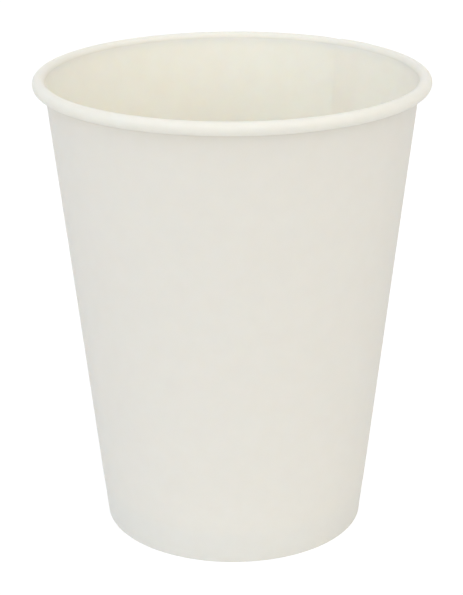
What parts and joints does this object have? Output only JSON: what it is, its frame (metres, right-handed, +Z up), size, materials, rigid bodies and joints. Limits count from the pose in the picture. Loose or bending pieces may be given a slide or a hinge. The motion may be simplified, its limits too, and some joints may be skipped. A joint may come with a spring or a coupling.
{
  "type": "paper coffee cup",
  "caption": "Plain disposable paper cup for hot drinks: tapered wall with a rolled rim and a lapped side seam, and a base set up inside the foot.",
  "frame": {"origin": "on the cup's axis, in the plane that the foot stands on", "axes": "+Z up the cup's axis, out of the mouth; the side seam's cut edge is 43 degrees from +X towards +Y, and the pictured side faces -Y"},
  "size_m": [0.09, 0.09, 0.108],
  "materials": {
    "side_board": "matte white cup board, with a thin smooth coating on the inside face",
    "base_board": "matte white cup board, with a thin smooth coating on the upper face"
  },
  "bodies": {
    "root": {"side_wall": "side_board", "base_disc": "base_board"}
  },
  "joints": []
}
